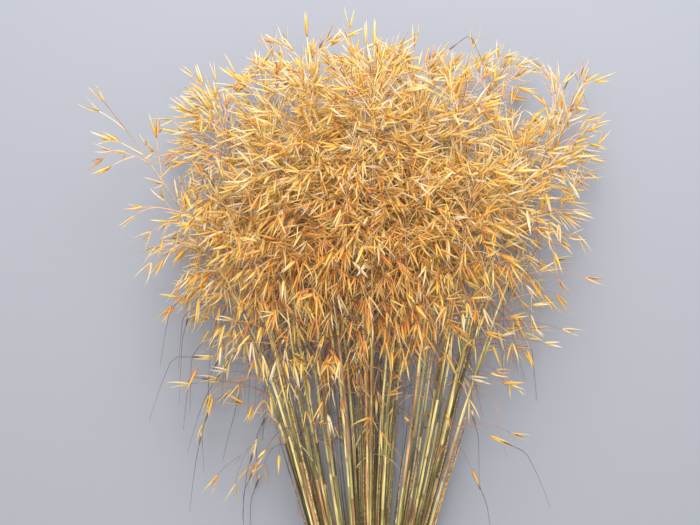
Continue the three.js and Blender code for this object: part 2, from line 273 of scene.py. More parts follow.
def colour(red, green, blue):
    """A colour as it looks, from 0 to 255, as the light values that shaders take."""
    seen = np.array([red, green, blue]) / 255
    light = np.where(seen <= 0.04045, seen / 12.92, ((seen + 0.055) / 1.055) ** 2.4)
    return (*light, 1.0)


def node(tree, kind, inputs, **settings):
    """A shader node with its settings, whose inputs are values or other nodes' outputs."""
    made = tree.nodes.new(kind)
    for name, value in settings.items():
        setattr(made, name, value)
    for socket, value in inputs.items():
        if isinstance(value, bpy.types.NodeSocket):
            tree.links.new(value, made.inputs[socket])
        else:
            made.inputs[socket].default_value = value
    return made


def math(tree, operation, *inputs):
    """One step of arithmetic on shader values, by its name."""
    made = node(tree, "ShaderNodeMath", dict(enumerate(inputs)), operation=operation)
    return made.outputs[0]


def blend(tree, share, low, high):
    """Goes evenly from one colour to another as the share goes from 0 to 1."""
    return node(tree, "ShaderNodeMix", {"Factor": share, 6: low, 7: high}, data_type="RGBA").outputs[2]


def ramp(tree, share, *stops):
    """The colour at a share, evenly between the stops on both sides of it."""
    made = node(tree, "ShaderNodeValToRGB", {0: share})
    elements = made.color_ramp.elements
    for _ in stops[2:]:
        elements.new(0.5)
    for element, (position, shade) in zip(elements, stops):
        element.position = position
        element.color = colour(*shade)
    return made.outputs[0]


def spread(tree, value, low, high):
    """A value from low to high, as a share from 0 to 1 that stops at both ends."""
    inputs = {"Value": value, "From Min": low, "From Max": high}
    return node(tree, "ShaderNodeMapRange", inputs).outputs[0]


def noise(tree, where, scale, detail=2.0):
    """Cloudy values round a half: smaller clouds with a larger scale, rougher ones with more detail."""
    return node(tree, "ShaderNodeTexNoise", {"Vector": where, "Scale": scale, "Detail": detail}).outputs[0]


def stretched(tree, where, along, across=1.0):
    """Places squeezed along the third axis, so that a pattern on them runs in streaks."""
    inputs = {"Vector": where, "Scale": (across, across, along)}
    return node(tree, "ShaderNodeMapping", inputs).outputs[0]


def varied(tree, value, change, amount):
    """A value moved up and down by a share of a change that runs from 0 to 1."""
    return math(tree, "ADD", value, math(tree, "MULTIPLY", math(tree, "SUBTRACT", change, 0.5), amount))


def finish_of(name, roughness=0.5, specular=0.5):
    """A new material with its shader, and the tint, mark and place that its mesh holds."""
    material = bpy.data.materials.new(name)
    material.use_nodes = True
    tree = material.node_tree
    shader = tree.nodes["Principled BSDF"]
    shader.inputs["Roughness"].default_value = roughness
    shader.inputs["Specular IOR Level"].default_value = specular
    tint, mark, place = (
        node(tree, "ShaderNodeAttribute", {}, attribute_name=held) for held in ("tint", "mark", "place")
    )
    return material, tree, shader, tint.outputs["Fac"], mark.outputs["Fac"], place.outputs["Vector"]


straw, tree, shader, tint, mark, place = finish_of("straw", specular=0.2)
fibres = noise(tree, stretched(tree, place, 0.012, 0.8), 2.6, 5.0)
patches = noise(tree, stretched(tree, place, 0.016, 0.25), 1.3)
# The lowest stops, near black and dark olive, are the painted shade of the dark withered leaves, and they
# also colour the darkest straws.
skin = ramp(
    tree,
    varied(tree, tint, patches, 0.5),
    (0.0, (20, 18, 8)),
    (0.2, (58, 62, 24)),
    (0.42, (160, 152, 70)),
    (0.62, (230, 210, 130)),
    (0.8, (122, 74, 36)),
    (1.0, (218, 170, 108)),
)
stains = noise(tree, stretched(tree, place, 0.02, 0.9), 3.1, 4.0)
skin = blend(tree, spread(tree, fibres, 0.4, 0.6), blend(tree, 0.7, skin, colour(44, 28, 10)), skin)
skin = blend(tree, math(tree, "MULTIPLY", spread(tree, stains, 0.54, 0.66), 0.7), skin, colour(112, 76, 50))
# The mark makes a straw darker brown at its joints and towards its cut end, most deep in the hollow.
skin = blend(tree, math(tree, "MULTIPLY", mark, 0.75), skin, colour(84, 50, 26))
tree.links.new(skin, shader.inputs["Base Color"])
tree.links.new(spread(tree, fibres, -0.6, 1.6), shader.inputs["Roughness"])
relief = node(tree, "ShaderNodeBump", {"Strength": 0.4, "Distance": 0.0003, "Height": fibres})
tree.links.new(relief.outputs[0], shader.inputs["Normal"])

JOINTS = ((16, 60), (150, 250), (320, 420))
JOINT_RINGS = np.array([-5, -2, 0, 2, 5])
JOINT_SWELL = 0.35
JOINT_LENGTH = 2.6
SHEATH_LENGTH = (80, 190)
SHEATH_THICKNESS = 0.3
SHEATH_EDGE = np.array([-0.4, 0.4])
STRAW_RINGS = 44
STRAW_SIDES = 7
UNWRAPPED = 0.15
TIP_RADIUS = 0.5
STRAW_TINT = (0.0, 0.76)
SHEATH_TINT = (0.1, 1.0)
RACHIS_TINT = 0.76
RACHIS_TINT_WITHIN = 1 / 3
PATTERN_APART = 97.0
# The hollow cut end from its pith outwards: depths behind the cut, shares of the radius, and how much
# darker each is.
CUT_DEPTH = np.array([5, 0.2, 0, 0, 0.4])
CUT_RADIUS = np.array([0.45, 0.5, 0.55, 0.9, 1.0])
CUT_DARKENING = np.array([0.9, 0.6, 0.4, 0.3, 0.2])


def grow_straw(growth, who):
    """A stem from its hollow cut end to its tip: its radius falls evenly to the neck and on to the
    tip, with a bell-shaped swelling at each joint and a step where each sheath ends."""
    joints = np.array([draw(span, 21 + k, who) for k, span in enumerate(JOINTS)])
    ends = np.minimum(joints + draw(SHEATH_LENGTH, 24, who, np.arange(len(JOINTS))), neck_y[who])
    around = (joints[:, None] + JOINT_RINGS).ravel()
    steps = (ends[:, None] + SHEATH_EDGE).ravel()
    even = np.linspace(butt_y[who] + 2, tip_y[who], STRAW_RINGS)
    y = np.sort(np.concatenate([around, steps, even]))
    to_neck = np.clip(y / neck_y[who], 0, 1)
    to_tip = np.clip((y - neck_y[who]) / (tip_y[who] - neck_y[who]), 0, 1)
    radius = mix(mix(BUTT_RADIUS - UNWRAPPED, NECK_RADIUS, to_neck), TIP_RADIUS, to_tip)
    swell = np.exp(-(((y[:, None] - joints) / JOINT_LENGTH) ** 2)).sum(axis=1)
    wrapped = (y[:, None] > joints) & (y[:, None] < ends)
    radius += JOINT_SWELL * swell + SHEATH_THICKNESS * wrapped.any(axis=1)
    bare = draw(STRAW_TINT, 25, who, np.arange(len(JOINTS) + 1))[np.searchsorted(joints, y)]
    sheath = draw(SHEATH_TINT, 26, who, np.arange(len(JOINTS)))
    tint = np.where(wrapped.any(axis=1), np.max(wrapped * sheath, axis=1), bare)
    tint = mix(tint, RACHIS_TINT, smooth(to_tip / RACHIS_TINT_WITHIN))
    y = np.concatenate([butt_y[who] + CUT_DEPTH, y])
    radius = np.concatenate([CUT_RADIUS * radius[0], radius])
    darkening = np.concatenate([CUT_DARKENING, swell])
    tint = np.concatenate([np.full(len(CUT_DEPTH), tint[0]), tint])
    frames = square_to(heading_at(who, y), ACROSS)
    points = tube_points(axis_at(who, y), radius, frames, STRAW_SIDES)[None]
    angle = 2 * np.pi * np.arange(STRAW_SIDES) / STRAW_SIDES
    around_it = np.stack([np.cos(angle), np.sin(angle), 0 * angle], axis=-1)
    place = around_it + y[:, None, None] * UP + PATTERN_APART * who * UP
    growth.add(points, straw, tint[:, None], place, darkening[:, None])
    return ends


# The leaf blades that are left. A few sheaths still end in the narrow papery strip of their leaf,
# folded along the middle. It grows out of the sheath's edge, and it twisted and hung as it dried.
BLADES_LEFT = 0.2
BLADE_LENGTH = (45, 125)
BLADE_HALF_WIDTH = (0.9, 1.7)
BLADE_ANGLE = (0.2, 0.7)
BLADE_DROOP = (0.3, 1.8)
BLADE_TINT = (0.5, 1.0)
BLADE_TWIST = (-2.5, 2.5)
BLADE_TAPER = 0.7
BLADE_RINGS = 12
# How far the fold's back and its hollow stand out from the edges, as shares of half the width.
BLADE_FOLD = (0.5, 0.2)
BLUNT = 1.02
FLOOR_GAP = 2.4
FLOOR_SOFTNESS = 26


def laid_on(z):
    """A height over the surface: what would sink below it is bent along it, by an exponential."""
    h = z - FLOOR_GAP
    low = FLOOR_SOFTNESS * np.exp(np.minimum(h, FLOOR_SOFTNESS) / FLOOR_SOFTNESS - 1)
    return FLOOR_GAP + np.where(h > FLOOR_SOFTNESS, h, low)


def laid(points):
    """Points whose heights are bent in that way."""
    return np.concatenate([points[..., :2], laid_on(points[..., 2:])], axis=-1)


def bent_stalk(start, leaving, length, droop):
    """A parabola's three control points: it leaves one way and arrives bent back by its droop."""
    arriving = unit(leaving - droop[..., None] * ALONG)
    bend = start + length[..., None] / 2 * leaving
    return np.stack([start, bend, bend + length[..., None] / 2 * arriving], axis=-2)


def along_stalk(stalk, t):
    """The point of a parabola at t: its control points weighed by the squares of 1 less t and of t,
    and by twice their product."""
    t = np.asarray(t)[..., None]
    start, bend, end = (stalk[..., k, :] for k in range(3))
    return (1 - t) ** 2 * start + 2 * t * (1 - t) * bend + t**2 * end


def grow_folded(growth, path, half, twist, fold, tint, apart):
    """Strips along paths, folded along the middle: each point of a path has two edges at half the
    width, and a back and a hollow between them, turned round the way ahead by its twist."""
    first, second = square_to(unit(np.gradient(path, axis=1)), ACROSS + 0 * path)
    across, out = turned((first, second), twist), turned((second, -first), twist)
    corners = np.stack([across, fold[0] * out, -across, fold[1] * out], axis=2)
    points = path[:, :, None] + half[..., None, None] * corners
    growth.add(points, straw, tint[:, None, None], path[:, :, None] + apart * UP)


def grow_blades(growth, who, ends):
    """Folded strips along parabolas that start at sheaths' ends. Their width falls as a power of what
    is left of their length, and they twist evenly."""
    keys = (who, np.flatnonzero(chance(27, who, np.arange(len(ends))) < BLADES_LEFT))
    foot = ends[keys[1]]
    heading = heading_at(who, foot)
    angle = draw(BLADE_ANGLE, *keys, 31)[:, None]
    outward = turned(square_to(heading, ACROSS), draw(CIRCLE, *keys, 32))
    leaving = heading * np.cos(angle) + outward * np.sin(angle)
    length, droop = draw(BLADE_LENGTH, *keys, 33), draw(BLADE_DROOP, *keys, 34)
    blade = bent_stalk(axis_at(who, foot), leaving, length, droop)
    t = np.linspace(0, 1, BLADE_RINGS)
    path = laid(along_stalk(blade[:, None], t))
    twist = draw(BLADE_TWIST, *keys, 35)[:, None] * t
    half = draw(BLADE_HALF_WIDTH, *keys, 36)[:, None] * (BLUNT - t) ** BLADE_TAPER
    grow_folded(growth, path, half, twist, BLADE_FOLD, draw(BLADE_TINT, *keys, 37), 0.0)


# The withered leaves. They are strips shaped as dried blades of the same grass, folded nearly shut,
# most of them so dark that they are painted shade between the straws. Each grows from its straw at
# its foot and stands close along it from there, among the other straws.
LEAVES_AND_SHADE = 3
LEAF_FOOT = (50, 280)
LEAF_LENGTH = (170, 320)
LEAF_HALF_WIDTH = (0.8, 1.5)
LEAF_AWAY = (1.5, 7)
LEAF_UNDER = (0.5, 3)
LEAF_SWAY = 0.9
LEAF_SWAYS = 2
LEAF_TAPER = 0.4
SHADE_LEAF_TINT = (0.0, 0.2)
PALE_LEAF = 0.68
DARK_AS_SHADE = 0.6
LEAF_RINGS = 18
LEAF_FOLD = (0.6, 0.1)
LEAF_PATTERN_APART = 31.0


def grow_leaves_and_shade(growth, who):
    """Strips that leave their straw sideways, up to a few millimetres as a square root of the way,
    and sway twice. Their width falls as a power of what is left of their length. Most are dark, as
    painted shade among the straws, and the rest pale."""
    keys = (who, np.arange(LEAVES_AND_SHADE))
    s = np.linspace(0, 1, LEAF_RINGS)
    y = draw(LEAF_FOOT, *keys, 101)[:, None] + draw(LEAF_LENGTH, *keys, 102)[:, None] * s
    side = np.sign(chance(*keys, 103) - 0.5)[:, None]
    sway = LEAF_SWAY * np.sin(2 * np.pi * (LEAF_SWAYS * s + chance(*keys, 104)[:, None]))
    away = side * (BUTT_RADIUS + draw(LEAF_AWAY, *keys, 105)[:, None] * np.sqrt(s)) + sway * s
    under = -draw(LEAF_UNDER, *keys, 106)[:, None] * s
    path = laid(axis_at(who, y) + away[..., None] * ACROSS + under[..., None] * UP)
    twist = draw(BLADE_TWIST, *keys, 107)[:, None] * s
    half = draw(LEAF_HALF_WIDTH, *keys, 108)[:, None] * (BLUNT - s) ** LEAF_TAPER
    # Most get a near-black tint, painted shade between the straws; the rest the pale tint of dry leaves.
    tint = draw(SHADE_LEAF_TINT, *keys, 109) + PALE_LEAF * (chance(*keys, 110) > DARK_AS_SHADE)
    grow_folded(growth, path, half, twist, LEAF_FOLD, tint, LEAF_PATTERN_APART * who)


# The main branches. From joints along the top third of each stem spring whorls of wiry branches,
# grown from its rachis. They dried as they hung, so the long low ones bend back towards the straw.
BRANCHES = 5
LAST_BRANCH = 0.93
BRANCH_TURN = 2.4
BRANCH_LENGTH = (104, 30)
BRANCH_ANGLE = (1.02, 0.42)
BRANCH_DROOP = (1.0, 0.12)
BRANCH_UP = (0, 0.8)
TURN_STRAY = (-0.5, 0.5)
ANGLE_STRAY = (0.75, 1.25)
LENGTH_STRAY = (0.7, 1.2)
DROOP_STRAY = (0.3, 1.2)
BRANCH_RADIUS = 0.5
FORK_RADIUS = 0.62
WIRE_RADIUS = (0.5, 0.3)
WIRE_SIDES = 3
BRANCH_RINGS = 6
STRAW_LEVELS = (TIE_END, 70, 260)
RACHIS_STEPS = 3
TRIES = 80
HUSK_LENGTH = (28, 36)
HUSK_OPENING = (0.09, 0.3)
HUSK_ROOM = 2.1
HANGING_AT = (500, 770)
HANG_STRAY = (0.1, 1.4)
LEVEL_UNDER = FLOOR_SOFTNESS + 2


def laid_along(start, direction, length):
    """A direction turned up just so far that its far end stays over the surface."""
    height = start[..., 2]
    rise_of = (laid_on(height + direction[..., 2] * length) - height) / length
    level = np.sqrt(np.maximum(1 - rise_of**2, 0)) / np.hypot(direction[..., 0], direction[..., 1])
    return np.stack([direction[..., 0] * level, direction[..., 1] * level, rise_of], axis=-1)


def on_rachis(who, share):
    """A place on a rachis, which runs in straight lengths."""
    along = share * RACHIS_STEPS
    k = np.minimum(np.floor(along), RACHIS_STEPS - 1)
    near, far = (mix(neck_y[who], tip_y[who], step / RACHIS_STEPS) for step in (k, k + 1))
    return mix(axis_at(who, near), axis_at(who, far), (along - k)[..., None])


def branches_of(who, keys, height, turn, angles, lengths, droops):
    """Branches at a height up a panicle and a turn round the rachis. Each range gives what the lowest
    and the highest branches have."""
    heading = heading_at(who, mix(neck_y[who], tip_y[who], height))
    outward = turned(square_to(heading, ACROSS), turn)
    angle = (mix(*angles, height) * draw(ANGLE_STRAY, *keys, 13))[..., None]
    length = mix(*lengths, height) * draw(LENGTH_STRAY, *keys, 14)
    droop = mix(*droops, height) * draw(DROOP_STRAY, *keys, 15)
    leaving = heading * np.cos(angle) + outward * np.sin(angle)
    side = unit(np.cross(leaving, ALONG))
    return bent_stalk(on_rachis(who, height), leaving, length, droop), side


def heads_of(stalk, side, keys, opening=HUSK_OPENING, size=HUSK_LENGTH, hang=0.0):
    """The spikelets at stalks' ends: where they sit, which way they point, and the turn, opening and
    length of their husks. Each points as the last half of its stalk runs. The lower ones hang back
    more, by a smooth step, and near the surface a spikelet lies level."""
    middle, end = laid(along_stalk(stalk, 0.5)), laid(stalk[..., 2, :])
    low = 1 - smooth(share_of(HANGING_AT, end[..., 1:2]))
    heading = unit(unit(end - middle) - hang * draw(HANG_STRAY, *keys, 4)[..., None] * low * ALONG)
    first, second = square_to(heading, side)
    level = np.cross(heading, UP)
    flat = np.arctan2(dot(level, second), dot(level, first))[..., 0]
    turn = np.where(end[..., 2] < LEVEL_UNDER, flat, draw(CIRCLE, *keys, 1))
    apart = turned((first, second), turn)
    half, length = draw(opening, *keys, 2), draw(size, *keys, 3)
    return {"end": end, "heading": heading, "apart": apart, "half": half, "length": length}


def husk_ways(head):
    """The two directions in which a spikelet's husks point, to both sides of its heading by its half
    opening."""
    sign = np.array([1.0, -1.0])[:, None]
    half = head["half"][..., None, None]
    free = head["heading"][..., None, :] * np.cos(half) + sign * np.sin(half) * head["apart"][..., None, :]
    return laid_along(head["end"][..., None, :], free, head["length"][..., None])


def husk_tips(head):
    """The far ends of the husks: their length along their directions."""
    return head["end"][..., None, :] + husk_ways(head) * head["length"][..., None, None]


def gaps(p, q):
    """The distances between one capsule and many: from the nearest point of one axis to that of the
    other, each kept between its ends, less both radii."""
    u, v, w = p["b"] - p["a"], q["b"] - q["a"], p["a"] - q["a"]
    uu, uv, vv = u @ u, v @ u, np.sum(v * v, axis=1)
    uw, vw = w @ u, np.sum(v * w, axis=1)
    across = uu * vv - uv * uv
    steep = across > 1e-9
    s = np.where(steep, np.clip((uv * vw - vv * uw) / np.where(steep, across, 1), 0, 1), 0)
    t = np.clip((uv * s + vw) / vv, 0, 1)
    s = np.clip((uv * t - uw) / uu, 0, 1)
    return np.linalg.norm(w + s[:, None] * u - t[:, None] * v, axis=1) - p["r"] - q["r"]


# Each stem's main branches are, in turn, the first of many draws that stays clear of all that stands.
grid = np.meshgrid(stems, np.arange(BRANCHES), np.arange(TRIES), indexing="ij")
draw_who, draw_order, draw_try = grid
draw_height = (draw_order + draw(BRANCH_UP, *grid, 11)) / BRANCHES * LAST_BRANCH
draw_turn = stem_turn[draw_who] + BRANCH_TURN * (draw_order + draw_try) + draw(TURN_STRAY, *grid, 12)
draw_stalk, draw_side = branches_of(
    draw_who, grid, draw_height, draw_turn, BRANCH_ANGLE, BRANCH_LENGTH, BRANCH_DROOP
)
draw_head = heads_of(draw_stalk, draw_side, grid)
draw_tips = husk_tips(draw_head)

top_heading = heading_at(stems, tip_y)
top_head = {
    "end": axis_at(stems, tip_y),
    "heading": top_heading,
    "apart": turned(square_to(top_heading, ACROSS), stem_turn + np.pi / 6),
    "half": draw(HUSK_OPENING, 8, stems, 2),
    "length": draw(HUSK_LENGTH, 8, stems, 3),
}

levels = np.stack(
    [butt_y, *(np.full(len(stems), float(y)) for y in STRAW_LEVELS)]
    + [mix(neck_y, tip_y, k / RACHIS_STEPS) for k in range(RACHIS_STEPS + 1)],
    axis=1,
)
knees = axis_at(stems[:, None], levels)
lengths = (knees.shape[1] - 1) * len(stems)
taken = {
    "a": [*knees[:, :-1].reshape(-1, 3), *np.repeat(top_head["end"], 2, axis=0)],
    "b": [*knees[:, 1:].reshape(-1, 3), *husk_tips(top_head).reshape(-1, 3)],
    "r": [BUTT_RADIUS] * lengths + [HUSK_ROOM] * 2 * len(stems),
    "who": [*np.repeat(stems, knees.shape[1] - 1), *np.repeat(stems, 2)],
    "open": [True] * lengths + [False] * 2 * len(stems),
}
chosen = []
for order in range(BRANCHES):
    for who in stems:
        held = {name: np.array(values) for name, values in taken.items()}
        for attempt in range(TRIES):
            at = (who, order, attempt)
            start, end = draw_stalk[at][0], draw_head["end"][at]
            middle = laid(along_stalk(draw_stalk[at], 0.5))
            pieces = [(start, middle, BRANCH_RADIUS), (middle, end, FORK_RADIUS)]
            pieces += [(end, far, HUSK_ROOM) for far in draw_tips[at]]
            is_clear = True
            for number, (a, b, r) in enumerate(pieces):
                distance = gaps({"a": a, "b": b, "r": r}, held)
                ignored = (held["who"] == who) & held["open"] & (number == 0)
                is_clear = is_clear and bool(np.all(ignored | (distance > CLEAR)))
            if is_clear:
                chosen.append(at)
                for number, (a, b, r) in enumerate(pieces):
                    for name, value in zip(taken, (a, b, r, who, number == 0)):
                        taken[name].append(value)
                break
chosen = tuple(np.array(chosen).T)

wire, tree, shader, tint, mark, place = finish_of("branch", roughness=0.6, specular=0.2)
skin = ramp(
    tree,
    tint,
    (0.0, (78, 58, 52)),
    (0.3, (154, 100, 56)),
    (0.65, (226, 154, 64)),
    (1.0, (232, 196, 116)),
)
tree.links.new(skin, shader.inputs["Base Color"])


def grow_stalks(growth, stalk, side, rings, radii, tint):
    """Three-sided wires along parabolas, tapering evenly from the first radius to the second."""
    t = np.linspace(0, 1, rings)
    path = laid(along_stalk(stalk[:, None], t))
    forward = unit(np.gradient(path, axis=1))
    frames = square_to(forward, side[:, None])
    radius = np.broadcast_to(mix(*radii, t), path.shape[:2])
    points = tube_points(path, radius, frames, WIRE_SIDES)
    growth.add(points, wire, tint[:, None, None], path[:, :, None])


# The rest of the branches. They are the same dry wire, grown from the rachis in whorls between the
# main ones. Low in a panicle they are many, long and hanging, and some have shed their spikelets.
WHORLS = 9
WHORL_UP = (0, 0.7)
MOST_IN_WHORL = 4
IN_WHORL = (4.4, 2.7)
WHORL_STRAY = (0.7, 1.15)
MORE_TURN_STRAY = (-0.6, 0.6)
MORE_ANGLE = (1.1, 0.38)
MORE_LENGTH = (110, 36)
MORE_DROOP = (2.2, 0.25)
MORE_OPENING = (0.08, 0.46)
MORE_HUSK = (26, 39)
LOWEST_HEADS = (400, 740)
FALLING_OFF = 1.5
MORE_HANG = 1.4
LOWER_LEFT = 0.0003
LESS_ASIDE = 0.001
ASIDE = 90
THIN_OUTSIDE = (205, 290)
THINNED = 0.5
LOW_STRAYS = (0.14, 0.02)
STRAYS_OVER = (-200, 200)
BARE_LEFT = (0.45, 0.05)
BARE_TO = 110
ROOM = 9
HIGHEST_HEADS = 942

grid = np.meshgrid(stems, np.arange(WHORLS), np.arange(MOST_IN_WHORL), indexing="ij")
keys = (grid[0], grid[1], 200 + grid[2])
more_who = grid[0]
more_height = (grid[1] + draw(WHORL_UP, grid[0], grid[1], 17)) / WHORLS * LAST_BRANCH
more_turn = stem_turn[more_who] + BRANCH_TURN * grid[1] + 2 * np.pi * grid[2] / MOST_IN_WHORL
more_turn = more_turn + draw(MORE_TURN_STRAY, *keys, 12)
more_stalk, more_side = branches_of(
    more_who, keys, more_height, more_turn, MORE_ANGLE, MORE_LENGTH, MORE_DROOP
)
wanted = mix(*IN_WHORL, more_height) * draw(WHORL_STRAY, grid[0], grid[1], 18)
kept = grid[2] < wanted
more_head = heads_of(more_stalk, more_side, keys, MORE_OPENING, MORE_HUSK, MORE_HANG)

room = np.array(solids_box).reshape(2, 3) / MM + np.array([[-ROOM], [ROOM]])
room[0, 2] = 0
room[1, 1] = HIGHEST_HEADS


def inside(points):
    """Whether all of each row's points are in the solids' box or just outside it."""
    within = (points > room[0]) & (points < room[1])
    return within.all(axis=tuple(range(1, within.ndim)))


def bears(head, seed):
    """Which stalks still bear a spikelet. High in the bundle all do. The chance falls down to the
    lowest as a power of a smooth step, sooner on the right and to the sides, and it is less again at
    both edges. Below that a few strays are left, more of them on the left."""
    x, aside = head["end"][:, 0], np.abs(head["end"][:, 0])
    depth = share_of(LOWEST_HEADS, head["end"][:, 1])
    depth = depth - LOWER_LEFT * x - LESS_ASIDE * np.maximum(aside - ASIDE, 0)
    outside = smooth(share_of(THIN_OUTSIDE, aside))
    strays = mix(*LOW_STRAYS, smooth(share_of(STRAYS_OVER, x)))
    share = (strays + smooth(depth) ** FALLING_OFF) * (1 - THINNED * outside)
    return chance(np.arange(len(depth)), seed) < share


def stays(head, bearing, seed):
    """Which stalks are left: all that bear, and of the bare ones a share that falls to the sides."""
    bare_left = mix(*BARE_LEFT, smooth(np.abs(head["end"][:, 0]) / BARE_TO))
    return bearing | (chance(np.arange(len(bearing)), seed) < bare_left)


def only(head, which):
    """Some of the spikelets."""
    return {name: values[which] for name, values in head.items()}


def joined(*heads):
    """Several sets of spikelets as one."""
    return {name: np.concatenate([head[name] for head in heads]) for name in heads[0]}


more_head = only(more_head, kept)
more_bears = bears(more_head, 20)
fits = inside(husk_tips(more_head)) & stays(more_head, more_bears, 23)
main_who, main_height = draw_who[chosen], draw_height[chosen]
owner = np.concatenate([main_who, more_who[kept][fits]])
up_it = np.concatenate([main_height, more_height[kept][fits]])
stalk = np.concatenate([draw_stalk[chosen], more_stalk[kept][fits]])
stalk[:, 0] = axis_at(owner, mix(neck_y[owner], tip_y[owner], up_it))
side = np.concatenate([draw_side[chosen], more_side[kept][fits]])
heads = joined(only(draw_head, chosen), only(more_head, fits))
full = np.concatenate([np.ones(len(main_who), bool), more_bears[fits]])

# The finer stalks. Each branch divides along its outer part into stalks as thin as hairs, of the same
# dry wire, more of them on the long low branches, and most carry a spikelet at the end.
MOST_STALKS = 5
STALK_RINGS = 4
STALK_RADIUS = (0.32, 0.24)
IN_BRANCH = (3.6, 2.2)
STALK_LENGTH = (46, 24)
STALK_ANGLE = (0.3, 1.35)
STALK_DROOP = (2.2, 0.3)
IN_BRANCH_STRAY = (0.5, 1.4)
FIRST_STALK = 0.3
STALKS_OVER = 0.62
LAST_STALK = 0.94
STALK_UP = (0, 0.9)
STALK_TURN_STRAY = (0, 2.0)
STALK_LENGTH_STRAY = (0.5, 1.2)
STALK_DROOP_STRAY = (0.1, 1.2)
SPREADING = (1.1, 0.5)
NEXT_TO = 0.03

number = np.arange(len(stalk))[:, None]
order = np.arange(MOST_STALKS)
keys = (number, order, 300)
wanted = mix(*IN_BRANCH, up_it)[:, None] * draw(IN_BRANCH_STRAY, number, 301)
where = FIRST_STALK + STALKS_OVER * (order + draw(STALK_UP, *keys, 1)) / np.maximum(wanted, 1)
where = np.minimum(where, LAST_STALK)
foot = along_stalk(stalk[:, None], where)
near, far = (along_stalk(stalk[:, None], where + step) for step in (-NEXT_TO, NEXT_TO))
forward = unit(far - near)
turn = order * BRANCH_TURN + draw(STALK_TURN_STRAY, *keys, 3)
outward = turned(square_to(forward, side[:, None]), turn)
angle = (mix(*SPREADING, up_it)[:, None] * draw(STALK_ANGLE, *keys, 2))[..., None]
leaving = forward * np.cos(angle) + outward * np.sin(angle)
size = mix(*STALK_LENGTH, up_it)[:, None] * draw(STALK_LENGTH_STRAY, *keys, 4)
droop = mix(*STALK_DROOP, up_it)[:, None] * draw(STALK_DROOP_STRAY, *keys, 5)
kept = order < wanted
fine_stalk = bent_stalk(foot, leaving, size, droop)[kept]
fine_side = unit(np.cross(leaving, ALONG))[kept]
fine_keys = tuple(np.broadcast_to(k, kept.shape)[kept] for k in keys)
fine_head = heads_of(fine_stalk, fine_side, (*fine_keys, 6), MORE_OPENING, MORE_HUSK, MORE_HANG)
fine_owner = np.broadcast_to(owner[:, None], kept.shape)[kept]
fine_up = np.broadcast_to(up_it[:, None], kept.shape)[kept]
fine_full = bears(fine_head, 21)
fits = inside(husk_tips(fine_head)) & stays(fine_head, fine_full, 22)
fine_stalk, fine_side, fine_owner, fine_up, fine_full = (
    values[fits] for values in (fine_stalk, fine_side, fine_owner, fine_up, fine_full)
)
fine_head = only(fine_head, fits)

# The spikelets. Each is a pair of long papery husks at the end of a stalk, folded along the back and
# set in a V, golden and half clear. Most still hold a narrow dark floret, and some its long bent awn.
HUSK_HALF_WIDTH = 2.15
HUSK_KEEL = 1.15
HUSK_FOLD = 0.5
HUSK_INNER = 0.45
HUSK_BREADTH = (0.6, 1.1)
HUSK_CURL = (-0.9, 0.9)
HUSK_BOW = (-0.03, 0.07)
HUSK_SHRUNK = (0.86, 1.0)
HUSK_TINT_STRAY = (-0.12, 0.12)
HUSK_PATTERN_APART = 7.0
HUSK_VEINS = 18.0
HUSK_CLEARNESS = 0.62

husk, tree, shader, tint, mark, place = finish_of("husk", roughness=0.38, specular=0.25)
split = node(tree, "ShaderNodeSeparateXYZ", {0: place})
sideways, onward = split.outputs[0], split.outputs[1]
blotch = noise(tree, place, 2.3, 3.0)
golden = varied(tree, varied(tree, tint, onward, 0.5), blotch, 0.5)
paper = ramp(
    tree,
    golden,
    (0.0, (184, 100, 38)),
    (0.2, (228, 156, 58)),
    (0.4, (236, 196, 80)),
    (0.6, (234, 212, 110)),
    (0.8, (232, 220, 158)),
    (1.0, (234, 228, 208)),
)
veins = math(tree, "SINE", math(tree, "MULTIPLY", sideways, HUSK_VEINS))
stripes = math(tree, "MULTIPLY", spread(tree, veins, 0.2, 1.0), 0.25)
paper = blend(tree, stripes, paper, colour(222, 140, 52))
clear = spread(tree, math(tree, "ABSOLUTE", sideways), 0.6, 1.0)
paper = blend(tree, math(tree, "MULTIPLY", clear, 0.5), paper, colour(255, 238, 190))
# The flush: a rust-orange deepening, drawn at random and gathered low in the middle of the bundle as
# painted shade.
paper = blend(tree, math(tree, "MULTIPLY", mark, 0.75), paper, colour(212, 124, 60))
tree.links.new(paper, shader.inputs["Base Color"])
light = blend(tree, 0.5, paper, colour(252, 218, 104))
glow = node(tree, "ShaderNodeBsdfTranslucent", {"Color": light})
both = node(tree, "ShaderNodeMixShader", {0: HUSK_CLEARNESS, 1: shader.outputs[0], 2: glow.outputs[0]})
tree.links.new(both.outputs[0], tree.nodes["Material Output"].inputs["Surface"])

HUSK_LEVELS = np.array([0, 0.12, 0.36, 0.66, 1])
HUSK_BELLY = 0.54
HUSK_ROUNDNESS = 1.1
HUSK_FOOT = 0.16
HUSK_FOOT_FADES = 8
HUSK_TIP = 0.015
FLUSH_FADES = 0.6
# The fold's section, out from the V and across, as shares of the keel and of the half width.
SECTION_OUT = np.array([HUSK_KEEL, -HUSK_INNER, HUSK_FOLD, -HUSK_INNER])
SECTION_ACROSS = np.array([0, 1, 0, -1])


